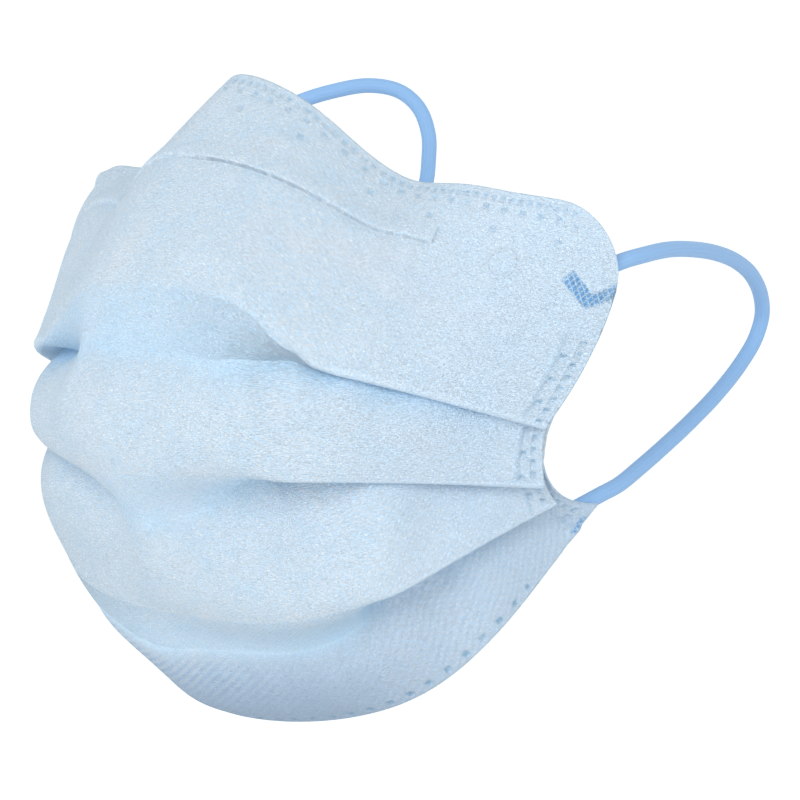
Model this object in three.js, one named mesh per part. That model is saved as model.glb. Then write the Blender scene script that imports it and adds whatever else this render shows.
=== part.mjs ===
// Disposable pleated face mask in the shape that it has when worn, in millimetres with +Z up.
// The front faces -Y and the wearer's left is +X. The origin is the bridge of the nose, on the inner
// face of the sheet behind the middle of the nose wire.
import * as THREE from 'three';

// Sheet: one layered cloth, pleated three times
const HALF_WIDTH = 87.5; // from the middle to a side edge, along the cloth
const WALL = 1.0;
const FOLD_RADIUS = 0.75; // tightest bend of a pressed pleat, at the middle of the wall
const CORNER_RADIUS = 13; // rounding of the two upper corners
const SEAT_GAP = 0.4; // clearance between the sheet and what is fastened to it

// Fineness of the sheet's grid
const COLUMNS = 40;
const SIDE_CROWDING = 0.4; // share of the columns' spacing that narrows towards the side edges
const BEND_STEPS = 4;
const FLAP_STEPS = 2;

// Lines across the sheet from the upper edge down. A line starts level in the middle at (0, y, z) and runs
// to the side edge at (endX, endY, endZ), which it meets at a heading in plan and a slope. front and back
// are the lengths over which it holds those two directions. Its middle is lifted and pushed forward inside
// spread, a share of the half width on either side of shift, and plateau flattens the top of that lift.
// rightOut and rightLift move the right half, which lies fuller, outward and up.
const LINES = [
  {
    name: 'upper_edge', y: 22, z: -4, front: 32, endX: 70, endY: 44, endZ: -10.5,
    heading: 48, slope: -0.18, back: 24, lift: 18.5, forward: 8.5, spread: 0.5, shift: 0, plateau: 1,
    rightOut: 0, rightLift: 0,
  },
  {
    name: 'first_crest', y: -19, z: -34, front: 39, endX: 60.5, endY: 32.5, endZ: -50.5,
    heading: 66, slope: -0.25, back: 35, lift: 12, forward: 0, spread: 0.42, shift: 0.06, plateau: 2.2,
    rightOut: 1.3, rightLift: 0,
  },
  {
    name: 'second_crest', y: -24, z: -59, front: 36, endX: 57.5, endY: 34, endZ: -62,
    heading: 64, slope: -0.05, back: 36, lift: 0, forward: 0, spread: 0.5, shift: 0, plateau: 1,
    rightOut: 2.6, rightLift: 3,
  },
  {
    name: 'third_crest', y: -6, z: -88.5, front: 47, endX: 55, endY: 40.5, endZ: -66.5,
    heading: 72, slope: 0.3, back: 38, lift: 0, forward: 0, spread: 0.5, shift: 0, plateau: 1,
    rightOut: 2, rightLift: 0,
  },
  {
    name: 'lower_edge', y: 18, z: -112, front: 48, endX: 54.5, endY: 54.5, endZ: -68.5,
    heading: 68, slope: 1.0, back: 30, lift: 0, forward: 0, spread: 0.5, shift: 0, plateau: 1,
    rightOut: 0, rightLift: 0,
  },
];

// Panels between those lines: how far the middle bulges out, how much more the right half does, how far the
// side edge bows out, rows of the grid
const PANELS = [
  { name: 'nose_panel', bulge: 2, rightBulge: 0, bow: 1.5, rows: 7 },
  { name: 'mouth_panel', bulge: 4, rightBulge: 0.5, bow: 0, rows: 4 },
  { name: 'lip_panel', bulge: 2.5, rightBulge: 3, bow: -2, rows: 4 },
  { name: 'chin_panel', bulge: 3, rightBulge: 0, bow: -5, rows: 5 },
];

// Pleats behind the three crests: depth of the hidden flap, its turn in degrees in the middle and at the
// sides, the powers of the distance across by which it turns to the left and to the right, and the extra bend
// radius in the middle. On the right it tucks under sooner, up to the share tuck of its turn between
// tuckStart and tuckEnd, and is shallower by the share slack.
const PLEATS = [
  {
    depth: 12, middleTurn: 42, sideTurn: 178, leftPower: 0.97, rightPower: 1.9, softness: 4,
    tuck: 0.66, tuckStart: 0.1, tuckEnd: 0.42, slack: 0.55,
  },
  {
    depth: 13, middleTurn: 12, sideTurn: 178, leftPower: 0.87, rightPower: 1.4, softness: 1.5,
    tuck: 0.6, tuckStart: 0, tuckEnd: 0.42, slack: 0.6,
  },
  {
    depth: 12, middleTurn: 8, sideTurn: 178, leftPower: 1, rightPower: 3.5, softness: 1.5,
    tuck: 0, tuckStart: 0, tuckEnd: 1, slack: 0,
  },
];
const SOFT_SHARE = 0.45; // share of a pleat's turn at which its bend is fully pressed

// Nose wire: a flat strip inside the nose panel. drop is its middle line's distance below the upper edge.
const NOSE_WIRE = { reach: 0.56, width: 4, thickness: 0.8, middleDrop: 19.5, endDrop: 12, steps: 28 };

// Welded ends of the elastic: place on a panel, and turn of the strip from the across direction in degrees
const WELDS = [
  { name: 'top', panel: 0, across: 0.94, down: 0.36, turn: -45 },
  { name: 'bottom', panel: 3, across: 0.93, down: 0.66, turn: 35 },
];
const WELD_LENGTH = 8;
const WELD_WIDTH = 4.5;
const WELD_THICKNESS = 1.0;
const WELD_STEPS = 4;

// Ear loops: round elastic from the top weld to the bottom weld of each side
const LOOP_DIAMETER = 3.2;
const LOOP_SIDES = 8;
const LOOP_STEPS = 56;
const LEFT_ROUTE = [
  [64.6, 41.4, -21.7], [66.1, 45.6, -20], [66.2, 53.6, -19], [64.8, 62.8, -18.7], [62.2, 74, -19.2],
  [59, 86.2, -20.7], [55.3, 98.6, -23.4], [51.7, 109.5, -27.6], [48.6, 117.4, -32.8], [46.7, 120.8, -37.6],
  [45.6, 120.3, -42.6], [45.6, 114.8, -47.9], [46.6, 105.4, -53], [47.9, 94.6, -57.5], [49.5, 83.2, -61.2],
  [51, 72.6, -64.1], [51.9, 64.3, -66.3], [52.1, 58.4, -67.5], [51.7, 52.8, -67.9], [51, 48.9, -68.2],
];
const RIGHT_ROUTE = [
  [-64.6, 41.3, -21.8], [-65.6, 45.2, -19.2], [-63.8, 52, -13.4], [-60, 61, -6], [-54.5, 70.6, 1],
  [-47.7, 79.9, 6.1], [-42.3, 84, 7.9], [-36, 88.3, 8.8], [-30.6, 91.8, 7.5], [-26.6, 93.8, 4.2],
  [-24.1, 94.5, -1.1], [-23.3, 94.3, -6.5], [-23.6, 93.6, -11.9], [-26.2, 89.3, -25], [-30.6, 82.6, -37.5],
  [-36.1, 74.5, -48.5], [-41.9, 65.8, -57.5], [-47, 57.6, -64], [-49.7, 52.6, -66.9], [-50.6, 48.9, -68],
];

const CLOTH_BLUE = 0xc9def0;
const LOOP_BLUE = 0x8cb2e1;
const WIRE_WHITE = 0xe6edf3;

// A line's half as a smooth curve from the middle of the mask to its left side edge
function halfCurve(line) {
  const heading = THREE.MathUtils.degToRad(line.heading);
  const middle = new THREE.Vector3(0, line.y, line.z);
  const end = new THREE.Vector3(line.endX, line.endY, line.endZ);
  const arrival = new THREE.Vector3(Math.cos(heading), Math.sin(heading), line.slope).normalize();
  const level = new THREE.Vector3(line.front, 0, 0);
  return new THREE.CubicBezierCurve3(
    middle,
    middle.clone().add(level),
    end.clone().addScaledVector(arrival, -line.back),
    end,
  );
}

const CURVES = LINES.map(halfCurve);

// Bell over the right half, 1 midway between the middle and the side edge
function rightBell(across) {
  return across < 0 ? Math.sin(Math.PI * across) ** 2 : 0;
}

// Point of line k at across, from -1 at the right side edge to 1 at the left one
function linePoint(k, across) {
  const line = LINES[k];
  const point = CURVES[k].getPointAt(Math.abs(across));
  point.x *= Math.sign(across);
  const away = Math.min(1, Math.abs(across - line.shift) / line.spread);
  const rise = (1 + Math.cos(Math.PI * away ** line.plateau)) / 2;
  point.x -= line.rightOut * rightBell(across);
  point.y -= line.forward * rise;
  point.z += line.lift * rise + line.rightLift * rightBell(across);
  return point;
}

// Direction of line k towards the left
function lineDirection(k, across) {
  const step = 0.01;
  const before = linePoint(k, Math.max(-1, across - step));
  const after = linePoint(k, Math.min(1, across + step));
  return after.sub(before).normalize();
}

// One panel along one column of the sheet
class PanelStrip {
  constructor(panel, start, end, acrossDirection, across) {
    const side = Math.abs(across);
    this.start = start;
    this.chord = end.clone().sub(start);
    this.acrossDirection = acrossDirection;
    this.outward = this.chord.clone().cross(acrossDirection).normalize();
    this.bulge = panel.bulge * (1 - side ** 2) + panel.rightBulge * rightBell(across);
    this.bow = panel.bow * Math.sign(across) * side ** 6;
  }

  // down runs from 0 at the panel's upper line to 1 at its lower one
  point(down) {
    const arch = 4 * down * (1 - down);
    return this.start.clone()
      .addScaledVector(this.chord, down)
      .addScaledVector(this.outward, this.bulge * arch)
      .addScaledVector(this.acrossDirection, this.bow * arch);
  }

  lowerDirection() {
    return this.chord.clone().addScaledVector(this.outward, -4 * this.bulge).normalize();
  }
}

// Share of the nose panel that the rounded upper corner takes away from a column
function cornerDrop(strip, across) {
  const past = Math.abs(across) * HALF_WIDTH - (HALF_WIDTH - CORNER_RADIUS);
  const drop = past > 0 ? CORNER_RADIUS - Math.sqrt(Math.max(0, CORNER_RADIUS ** 2 - past ** 2)) : 0;
  return drop / strip.chord.length();
}

// Points of an arc that leaves start along forward and turns towards inward
function bend(start, forward, inward, radius, turn, firstStep) {
  const points = [];
  for (let i = firstStep; i <= BEND_STEPS; i += 1) {
    const angle = turn * i / BEND_STEPS;
    points.push(start.clone()
      .addScaledVector(forward, radius * Math.sin(angle))
      .addScaledVector(inward, radius * (1 - Math.cos(angle))));
  }
  return points;
}

// Share of its turn that a pleat has made at across
function turnedShare(pleat, across) {
  if (across > 0) return across ** pleat.leftPower;
  const tucked = pleat.tuck * THREE.MathUtils.smoothstep(-across, pleat.tuckStart, pleat.tuckEnd);
  return Math.max(tucked, (-across) ** pleat.rightPower);
}

// The pleat below a crest: over the crest, along the hidden flap, and back at its root
function pleatPoints(pleat, strip, crest, nextCrest, across) {
  const forward = strip.lowerDirection();
  const inward = strip.acrossDirection.clone().cross(forward).normalize();
  const share = turnedShare(pleat, across);
  const turn = THREE.MathUtils.degToRad(pleat.middleTurn + (pleat.sideTurn - pleat.middleTurn) * share);
  const radius = FOLD_RADIUS + pleat.softness * Math.max(0, 1 - share / SOFT_SHARE) ** 1.5;
  const depth = pleat.depth * (1 - pleat.slack * rightBell(across));
  const points = bend(crest, forward, inward, radius, turn, 0);
  const flapStart = points[points.length - 1];
  const flap = forward.clone().multiplyScalar(Math.cos(turn)).addScaledVector(inward, Math.sin(turn));
  for (let i = 1; i <= FLAP_STEPS; i += 1) {
    points.push(flapStart.clone().addScaledVector(flap, depth * i / FLAP_STEPS));
  }
  const root = points[points.length - 1];
  const onward = nextCrest.clone().sub(root).normalize();
  const aside = onward.clone().addScaledVector(flap, -onward.dot(flap));
  const rootTurn = Math.atan2(aside.length(), onward.dot(flap));
  points.push(...bend(root, flap, aside.normalize(), FOLD_RADIUS, rootTurn, 1));
  return points;
}

// One column of the sheet, from the upper edge to the lower edge, and the panels that it crosses
function column(across) {
  const points = [];
  const strips = [];
  let start = linePoint(0, across);
  PANELS.forEach((panel, k) => {
    const end = linePoint(k + 1, across);
    const strip = new PanelStrip(panel, start, end, lineDirection(k + 1, across), across);
    strips.push(strip);
    const first = k === 0 ? cornerDrop(strip, across) : 0;
    for (let i = k === 0 ? 0 : 1; i < panel.rows; i += 1) {
      points.push(strip.point(first + (1 - first) * i / panel.rows));
    }
    if (k === PANELS.length - 1) {
      points.push(end);
      return;
    }
    points.push(...pleatPoints(PLEATS[k], strip, end, linePoint(k + 2, across), across));
    start = points[points.length - 1].clone();
  });
  return { points, strips };
}

// Outward direction of a grid of points, whose first index runs down and second runs to the left
function gridNormal(grid, i, j) {
  const here = grid[i][j];
  const down = new THREE.Vector3();
  const left = new THREE.Vector3();
  if (i > 0) down.add(here.clone().sub(grid[i - 1][j]).normalize());
  if (i < grid.length - 1) down.add(grid[i + 1][j].clone().sub(here).normalize());
  if (j > 0) left.add(here.clone().sub(grid[i][j - 1]).normalize());
  if (j < grid[i].length - 1) left.add(grid[i][j + 1].clone().sub(here).normalize());
  return down.cross(left).normalize();
}

// Closed wall over a grid, from outer to inner, both measured along the outward direction
function wallGeometry(grid, outer, inner) {
  const rows = grid.length;
  const columns = grid[0].length;
  const positions = [];
  for (const offset of [outer, inner]) {
    for (let i = 0; i < rows; i += 1) {
      for (let j = 0; j < columns; j += 1) {
        const point = grid[i][j].clone().addScaledVector(gridNormal(grid, i, j), offset);
        positions.push(point.x, point.y, point.z);
      }
    }
  }
  const front = (i, j) => i * columns + j;
  const back = (i, j) => rows * columns + front(i, j);
  const faces = [];
  const quad = (a, b, c, d) => faces.push(a, b, c, a, c, d);
  for (let i = 0; i < rows - 1; i += 1) {
    for (let j = 0; j < columns - 1; j += 1) {
      quad(front(i, j), front(i + 1, j), front(i + 1, j + 1), front(i, j + 1));
      quad(back(i, j), back(i, j + 1), back(i + 1, j + 1), back(i + 1, j));
    }
    quad(back(i, 0), back(i + 1, 0), front(i + 1, 0), front(i, 0));
    quad(front(i, columns - 1), front(i + 1, columns - 1), back(i + 1, columns - 1), back(i, columns - 1));
  }
  for (let j = 0; j < columns - 1; j += 1) {
    quad(front(0, j), front(0, j + 1), back(0, j + 1), back(0, j));
    quad(back(rows - 1, j), back(rows - 1, j + 1), front(rows - 1, j + 1), front(rows - 1, j));
  }
  const geometry = new THREE.BufferGeometry();
  geometry.setAttribute('position', new THREE.Float32BufferAttribute(positions, 3));
  geometry.setIndex(faces);
  geometry.computeVertexNormals();
  return geometry;
}

function pleatedSheet() {
  const columns = [];
  for (let j = 0; j <= COLUMNS; j += 1) {
    const even = 2 * j / COLUMNS - 1;
    const crowded = Math.sin(even * Math.PI / 2);
    columns.push(column((1 - SIDE_CROWDING) * even + SIDE_CROWDING * crowded).points);
  }
  const grid = columns[0].map((_, i) => columns.map((points) => points[i]));
  return wallGeometry(grid, WALL / 2, -WALL / 2);
}

// A strip that lies against the inner face of the sheet
function innerStrip(grid, thickness) {
  const outer = -WALL / 2 - SEAT_GAP;
  return wallGeometry(grid, outer, outer - thickness);
}

function noseWire() {
  const grid = [[], []];
  for (let j = 0; j <= NOSE_WIRE.steps; j += 1) {
    const share = 2 * j / NOSE_WIRE.steps - 1;
    const strip = column(share * NOSE_WIRE.reach).strips[0];
    const rise = (1 + Math.cos(Math.PI * share)) / 2;
    const drop = NOSE_WIRE.endDrop + (NOSE_WIRE.middleDrop - NOSE_WIRE.endDrop) * rise;
    grid.forEach((row, i) => {
      row.push(strip.point((drop + (i - 0.5) * NOSE_WIRE.width) / strip.chord.length()));
    });
  }
  return innerStrip(grid, NOSE_WIRE.thickness);
}

// side is 1 for the wearer's left and -1 for the right
function weldedEnd(weld, side) {
  const turn = THREE.MathUtils.degToRad(weld.turn);
  const panelLength = column(side * weld.across).strips[weld.panel].chord.length();
  const grid = [];
  for (let i = 0; i <= WELD_STEPS; i += 1) {
    const row = [];
    for (let j = 0; j <= WELD_STEPS; j += 1) {
      const along = side * WELD_LENGTH * (j / WELD_STEPS - 0.5);
      const aside = WELD_WIDTH * (i / WELD_STEPS - 0.5);
      const across = weld.across + (along * Math.cos(turn) - aside * Math.sin(turn)) / HALF_WIDTH;
      const down = weld.down + (along * Math.sin(turn) + aside * Math.cos(turn)) / panelLength;
      row.push(column(side * across).strips[weld.panel].point(down));
    }
    grid.push(row);
  }
  return innerStrip(grid, WELD_THICKNESS);
}

function earLoop(route) {
  const section = new THREE.Shape();
  for (let i = 0; i < LOOP_SIDES; i += 1) {
    const angle = 2 * Math.PI * i / LOOP_SIDES;
    const x = LOOP_DIAMETER / 2 * Math.cos(angle);
    const y = LOOP_DIAMETER / 2 * Math.sin(angle);
    if (i === 0) section.moveTo(x, y);
    else section.lineTo(x, y);
  }
  section.closePath();
  const path = new THREE.CatmullRomCurve3(route.map((point) => new THREE.Vector3(...point)));
  return new THREE.ExtrudeGeometry(section, { steps: LOOP_STEPS, bevelEnabled: false, extrudePath: path });
}

function piece(name, geometry, color, roughness, metalness = 0) {
  const mesh = new THREE.Mesh(geometry, new THREE.MeshStandardMaterial({ color, roughness, metalness }));
  mesh.name = name;
  return mesh;
}

const mask = new THREE.Group();
mask.add(piece('mask_body', pleatedSheet(), CLOTH_BLUE, 0.9));
mask.add(piece('nose_wire', noseWire(), WIRE_WHITE, 0.5));
for (const [sideName, side, route] of [['left', 1, LEFT_ROUTE], ['right', -1, RIGHT_ROUTE]]) {
  mask.add(piece(`ear_loop_${sideName}`, earLoop(route), LOOP_BLUE, 0.8));
  for (const weld of WELDS) {
    mask.add(piece(`loop_weld_${sideName}_${weld.name}`, weldedEnd(weld, side), LOOP_BLUE, 0.7));
  }
}

export default mask;
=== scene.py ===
"""Looks of a disposable face mask: pleated nonwoven cloth with welded edges, and elastic loops."""
import math
from types import SimpleNamespace

import bpy
import numpy as np
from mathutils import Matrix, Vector


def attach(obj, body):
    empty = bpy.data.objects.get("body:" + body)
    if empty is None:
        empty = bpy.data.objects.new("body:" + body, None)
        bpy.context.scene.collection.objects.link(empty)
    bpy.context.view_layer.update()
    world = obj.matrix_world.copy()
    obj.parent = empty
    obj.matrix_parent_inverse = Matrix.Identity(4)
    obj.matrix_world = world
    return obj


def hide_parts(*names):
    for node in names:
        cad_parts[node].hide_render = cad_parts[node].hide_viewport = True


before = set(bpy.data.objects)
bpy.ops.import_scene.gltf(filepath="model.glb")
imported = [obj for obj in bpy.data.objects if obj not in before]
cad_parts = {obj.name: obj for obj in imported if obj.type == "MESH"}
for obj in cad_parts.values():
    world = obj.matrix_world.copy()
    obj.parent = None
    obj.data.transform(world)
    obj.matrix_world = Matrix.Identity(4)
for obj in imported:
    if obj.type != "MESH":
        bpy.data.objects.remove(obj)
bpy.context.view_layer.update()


def table(*rows, **defaults):
    """Rows of named values, filled up from the defaults."""
    return [SimpleNamespace(**(defaults | row)) for row in rows]


# Sheet, in metres. Places across it, us, run from -1 at the right side edge to 1 at the left one
HALF_WIDTH = 0.0875
FLAT_HEIGHT = 0.162
FOLD_RADIUS = 0.00075
CORNER_RADIUS = 0.0155
WALL = 0.001
SEAT_GAP = 0.0004
FACE = 0.00045  # outer and inner cloth faces from the middle of the wall

# Lines across the sheet from the upper edge down: the solid's, moved a little towards the photograph.
# A curve runs from the middle (y, z, front) to the side edge (end, heading in degrees, slope, back).
# A rise over the nose (lift, forward, spread, shift, plateau) and changes on one half alone are added.
# Spread and plateau are given for the left and the right of the rise.
LINES = table(
    dict(y=0.022, z=-0.004, front=0.032, end=(0.070, 0.044, -0.0100), heading=48, slope=-0.18, back=0.024,
         lift=0.0183, forward=0.0085, spread=(0.46, 0.335), plateau=(1.12, 1.12), right_end=0.0013),
    dict(y=-0.019, z=-0.034, front=0.039, end=(0.0605, 0.0325, -0.0505), heading=66, slope=-0.25, back=0.035,
         lift=0.012, spread=(0.395, 0.42), shift=0.06, plateau=(2.6, 2.2),
         right_out=0.0013, left_lift=0.0011),
    dict(y=-0.024, z=-0.059, front=0.036, end=(0.0575, 0.034, -0.062), heading=64, slope=-0.05, back=0.036,
         right_out=0.0026, right_lift=0.003, left_lift=0.0012),
    dict(y=-0.006, z=-0.0885, front=0.047, end=(0.055, 0.0405, -0.0665), heading=72, slope=0.3, back=0.038,
         right_out=0.0008, right_lift=0.0005, left_lift=-0.0008),
    dict(y=0.018, z=-0.1114, front=0.048, end=(0.0545, 0.0545, -0.0685), heading=68, slope=1.0, back=0.030,
         lift=-0.0018, shift=-0.16),
    lift=0, forward=0, spread=(0.5, 0.5), shift=0, plateau=(1, 1),
    right_out=0, right_lift=0, right_end=0, left_lift=0,
)

# Panels between the lines: bulge all over and on the right half, swell of the right half's upper part,
# bow of the side edges, and place of the lower fold in the pattern of the cloth
NOSE, MOUTH, LIP, CHIN = range(4)
PANELS = table(
    dict(bulge=0.002, swell=0.0042, bow=0.0036),
    dict(bulge=0.004, right_bulge=0.0005, bow=-0.0024, place=0.0876),
    dict(bulge=0.0016, swell=0.0046, bow=-0.0030, place=0.1230),
    dict(bulge=0.003, right_bulge=-0.0038, bow=-0.0045),
    right_bulge=0, swell=0, place=None,
)
RIM_POWER = 6  # how near the side edges their bow and insets stay

# Pleats below the first three panels: depth of the flap, its turn in degrees in the middle and at the sides.
# Powers, tuck (right half) and closed (left half) say how it closes on the way, slacks where it is less deep.
# Softness is radius added to an open crest, ease the reach of a softening, open_shade the painted shade of an
# open pleat, and a painted glow stands in for the light through a flap.
PLEATS = table(
    dict(depth=0.012, middle=28, left_power=3.0, right_power=1.9, softness=0.004,
         tuck=0.66, tuck_start=0.1, slack=0.55, left_slack=0.85,
         closed=0.97, close_start=0.33, close_end=0.51, crest_inset=0.001,
         ease=0.0034, ease_right=0.42, ease_left=0.53, open_shade=0.4, painted_glow=0.5),
    dict(depth=0.013, middle=12, left_power=1.1, right_power=1.4, tuck=0.6,
         closed=0.78, close_start=0.30, close_end=0.56, root_inset=0.0012,
         ease=0.0028, ease_right=0.75, ease_left=0.46, painted_glow=0.6),
    dict(depth=0.012, middle=8, left_power=1, right_power=7,
         closed=0.92, close_start=0.42, close_end=0.70, root_inset=0.0030, flap_bow=0.003,
         ease=0.0035, ease_right=0.84, ease_left=0.60, ease_more=1, painted_glow=0.85),
    side=178, softness=0.0015, tuck=0, tuck_start=0, tuck_end=0.42, slack=0.6, left_slack=0,
    crest_inset=0, root_inset=0, flap_bow=0, ease_more=0, open_shade=0.2,
)
SOFT_SHARE = 0.45  # how far a pleat has closed where its bends are no longer soft
VALLEY_RADIUS = 0.0022  # added at the root of a pleat where it is open
EASE_FADE = 0.2  # width of the stretch where the softening ends
NARROWING = SimpleNamespace(start=0.28, full=0.44, widens=0.47, end=0.74)  # where left_slack counts
COVER_LIMIT, COVER_EASE = 0.6, 0.12  # share of a panel that a closed flap keeps flat

# Nose wire and welded elastic ends, as in the solids
WIRE = SimpleNamespace(reach=0.56, width=0.004, thickness=0.0008, middle_drop=0.0195, end_drop=0.012)
WELDS = {
    "top": SimpleNamespace(panel=NOSE, across=0.94, down=0.36, turn=-45),
    "bottom": SimpleNamespace(panel=CHIN, across=0.93, down=0.66, turn=35),
}
WELD_LENGTH = 0.008
WELD_WIDTH = 0.0045
WELD_THICKNESS = 0.001

# Ear loops: the solids' routes, in tenths of a millimetre
LOOP_DIAMETER = 0.0032
ROUTE_STEPS_PER_METRE = 10000
ROUTES = {
    "left": [
        (646, 414, -217), (661, 456, -200), (662, 536, -190), (648, 628, -187), (622, 740, -195),
        (590, 862, -212), (552, 985, -240), (514, 1091, -279), (481, 1167, -328), (461, 1199, -373),
        (449, 1193, -420), (449, 1140, -470), (460, 1047, -521), (474, 940, -566), (491, 828, -605),
        (508, 724, -637), (519, 643, -661), (520, 584, -674), (514, 528, -690), (506, 489, -703),
    ],
    "right": [
        (-646, 413, -218), (-656, 452, -192), (-638, 520, -134), (-600, 610, -64), (-545, 706, 4),
        (-477, 799, 57), (-419, 843, 80), (-354, 888, 93), (-299, 924, 81), (-261, 943, 46),
        (-238, 948, -9), (-233, 943, -65), (-236, 936, -119), (-262, 893, -250), (-306, 826, -375),
        (-361, 745, -485), (-419, 658, -575), (-470, 576, -640), (-497, 526, -669), (-506, 489, -680),
    ],
}

# Pressed welds in rows beside an edge: inset from it, spacing, size along and across the row
TOP_WELDS = table(
    dict(inset=0.0019, pitch=0.0020, along=0.0010, across=0.0012, phase=0),
    dict(inset=0.0040, pitch=0.0040, along=0.0011, across=0.0011, phase=0.001),
    dict(inset=0.0082, pitch=0.0140, along=0.0012, across=0.0012, phase=0.004),
)
TOP_WELD_REACH = 0.077
LOWER_WELDS = table(dict(inset=0.0016, pitch=0.0044, along=0.0013, across=0.0011, phase=0))
LOWER_WELD_REACH = 0.066
SIDE_WELDS = table(
    dict(inset=0.0022, pitch=0.0024, along=0.0013, across=0.0012, phase=0),
    dict(inset=0.0047, pitch=0.0048, along=0.0013, across=0.0013, phase=0.001),
)
SIDE_WELD_START = 0.026  # below the upper edge
SIDE_BAND = 0.006
WELD_DEPTH = 0.00035
WELD_SHADE = 0.00045  # height of the painted shadow at the upper side of a spot

# Knurled mark over the upper loop weld, on the flat cloth: across from the middle, down from the upper edge
MARK_POINTS = [(0.0782, 0.0144), (0.0833, 0.0182), (0.0876, 0.0152)]
MARK_HALF_WIDTHS = [0.0014, 0.0011]
MARK_PITCH = 0.0010
LOWER_MARK_POINTS = [(0.0800, 0.0008), (0.0838, 0.0008)]  # up from the lower edge
LOWER_MARK_HALF_WIDTH = 0.0005
RING = SimpleNamespace(centre=(0.0641, 0.0143), radius=0.0028)

FOLD_SHADE = 0.0030  # reach of the painted shade below a pleat
SIDE_FADE = 0.45  # how much weaker that painted shade is near the left side edge

# Crumple of the wall: waves in all directions. Puckers run in from the side welds
CRUMPLE = SimpleNamespace(seed=5, waves=14, shortest=0.012, longest=0.034, steepness=0.0042)
PUCKER = SimpleNamespace(height=0.00022, swing=0.00018, reach=0.005)

SOFT_BORDER = 0.0004  # of a pressed spot
LOWER_CLEARANCE = 0.0022  # between the side welds and the lower edge
GROOVE = SimpleNamespace(beyond=0.0002, width=0.0007, shade=0.22)  # beside the side band, with the strength of its painted shade
BAND_RELIEF = 0.0002
RIDGE_HEIGHT, RIDGE_GROOVE = 0.0006, 0.0002  # over the nose wire
STRIP_ROUNDING = 0.0003  # at the borders of the elastic's flattened ends
STITCH = 0.0009  # along a loop
RIB_DEPTH = 0.00002

# Bands of finer mesh along the edges
TOP_BAND = 0.010
LOWER_BAND = 0.004
FINE_SIDE = 0.86


def unit(v):
    return v / np.linalg.norm(v, axis=-1, keepdims=True)


def smooth(x, low, high):
    """0 below low, 1 above high, smooth between."""
    t = np.clip((x - low) / (high - low), 0, 1)
    return t * t * (3 - 2 * t)


def pad(x, half, soft):
    """1 within half of zero, with a soft border."""
    return 1 - smooth(np.abs(x), half - soft / 2, half + soft / 2)


def arch(t):
    """0 at both ends and 1 in the middle."""
    return 4 * t * (1 - t)


def high_arch(t):
    """0 at both ends and 1 at a third of the way."""
    return 6.75 * t * (1 - t) ** 2


def hump(x, width):
    """1 at zero, fading on both sides."""
    return np.exp(-(x / width) ** 2)


def falling(x, power=1):
    """1 at zero and 0 from 1 on, as half a wave."""
    return (1 + np.cos(np.pi * np.clip(x, 0, 1) ** power)) / 2


def wrapped(x, pitch):
    return (x + pitch / 2) % pitch - pitch / 2


def lengths_along(points):
    """Distance of each point from the first one, along the line."""
    return np.concatenate([[0], np.cumsum(np.linalg.norm(np.diff(points, axis=0), axis=1))])


def points_at(places, points, lengths):
    return np.stack([np.interp(places, lengths, points[:, i]) for i in range(3)], axis=1)


# Shape of the sheet

def right_bell(us):
    """Fullness of the right half, from 0 at the middle and the side edge to 1 between them."""
    return np.where(us < 0, np.sin(np.pi * us) ** 2, 0)


def half_curve(line):
    """Points of a line from the middle to the left side edge, and the length up to each."""
    t = np.linspace(0, 1, 400)[:, None]
    heading = math.radians(line.heading)
    middle = np.array([0, line.y, line.z])
    end = np.array(line.end)
    arrival = unit(np.array([math.cos(heading), math.sin(heading), line.slope]))
    first = middle + [line.front, 0, 0]
    second = end - line.back * arrival
    rest = 1 - t
    points = rest ** 3 * middle + 3 * t * rest ** 2 * first + 3 * t * t * rest * second + t ** 3 * end
    return points, lengths_along(points)


CURVES = [half_curve(line) for line in LINES]


def line_points(k, us):
    line = LINES[k]
    curve, lengths = CURVES[k]
    points = points_at(np.abs(us) * lengths[-1], curve, lengths)
    points[:, 0] *= np.sign(us)
    on_left = us > line.shift
    spread, plateau = np.where(on_left, *line.spread), np.where(on_left, *line.plateau)
    rise = falling(np.abs(us - line.shift) / spread, plateau)
    points[:, 0] -= line.right_out * right_bell(us)
    points[:, :2] -= line.right_end * smooth(-us, 0.4, 1)[:, None]
    points[:, 1] -= line.forward * rise
    points[:, 2] += line.lift * rise + line.right_lift * right_bell(us)
    points[:, 2] += line.left_lift * np.where(us > 0, np.sin(np.pi * np.abs(us)), 0)
    return points


def line_directions(k, us):
    step = 0.01
    return unit(line_points(k, np.minimum(1, us + step)) - line_points(k, np.maximum(-1, us - step)))


def corner_drop(us):
    """How far the rounded upper corner lowers the edge."""
    past = np.clip(np.abs(us) * HALF_WIDTH - (HALF_WIDTH - CORNER_RADIUS), 0, CORNER_RADIUS)
    return CORNER_RADIUS - np.sqrt(CORNER_RADIUS ** 2 - past ** 2)


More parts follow.
